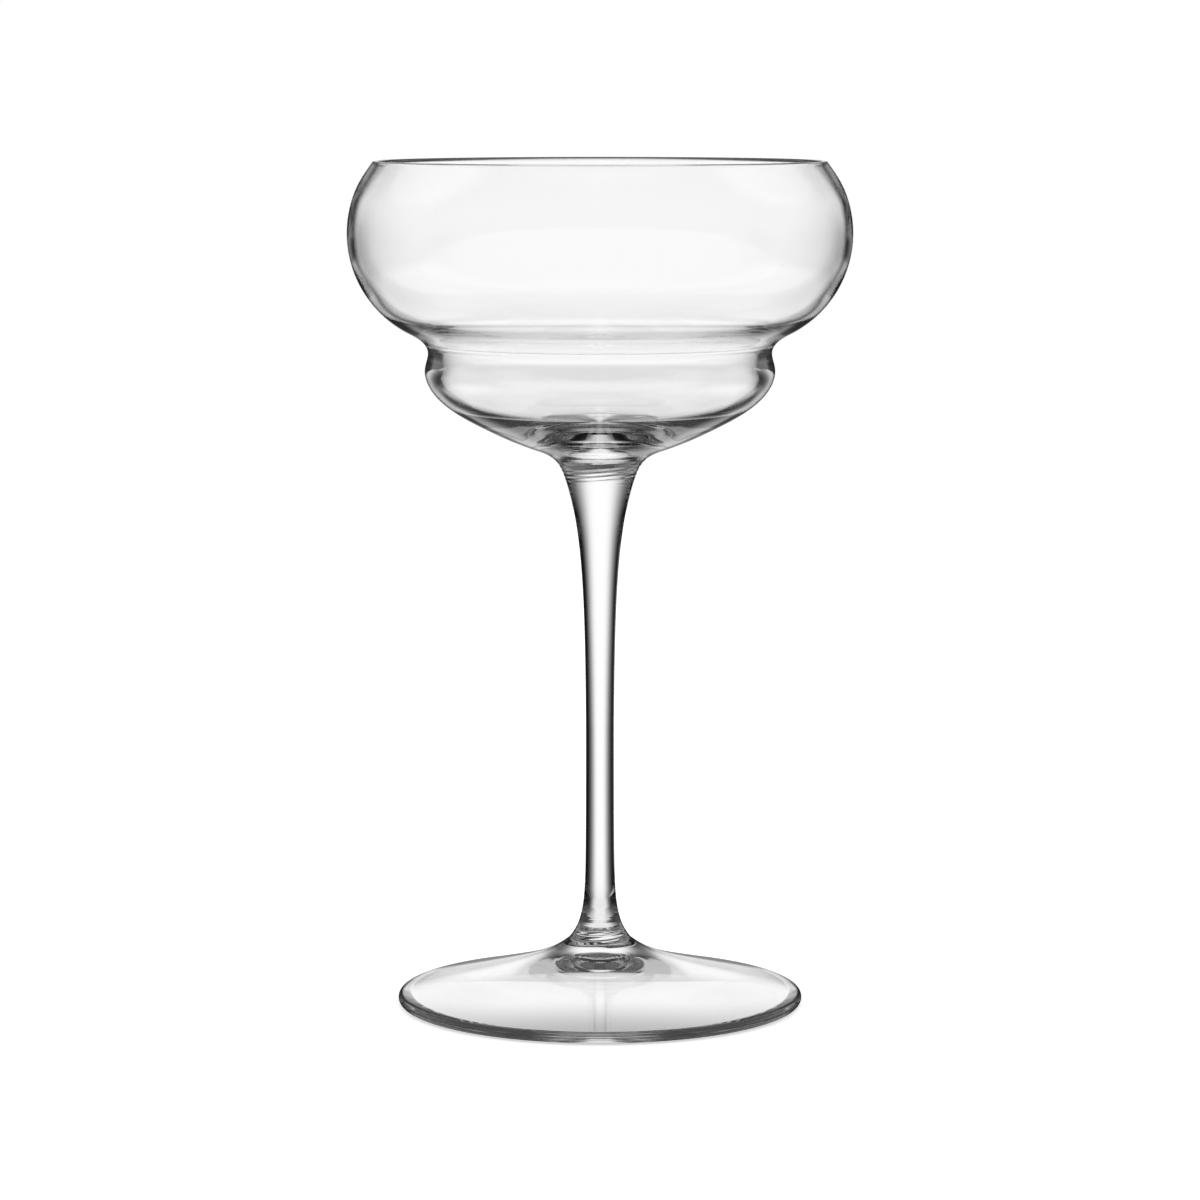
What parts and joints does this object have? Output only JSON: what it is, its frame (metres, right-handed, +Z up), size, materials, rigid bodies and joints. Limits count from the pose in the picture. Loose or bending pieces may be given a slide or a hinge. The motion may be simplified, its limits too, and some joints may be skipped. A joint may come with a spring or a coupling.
{
  "type": "stemmed cocktail glass",
  "caption": "Clear stemmed cocktail glass: a round bowl drawn in at a waist over a narrower cup, on a slim flared stem and a wide coned foot. Holds a short chilled drink.",
  "frame": {"origin": "centre of the resting ring under the foot, on the surface that the glass stands on", "axes": "+Z up along the stem's axis, about which every piece is turned; +X and +Y are free"},
  "size_m": [0.0978, 0.0978, 0.165],
  "materials": {
    "bowl_glass": "clear blown soda-lime glass, fire-polished",
    "stem_glass": "clear drawn soda-lime glass, fire-polished",
    "foot_glass": "clear spun soda-lime glass, fire-polished"
  },
  "bodies": {
    "root": {"bowl": "bowl_glass", "stem": "stem_glass", "foot": "foot_glass"}
  },
  "joints": []
}
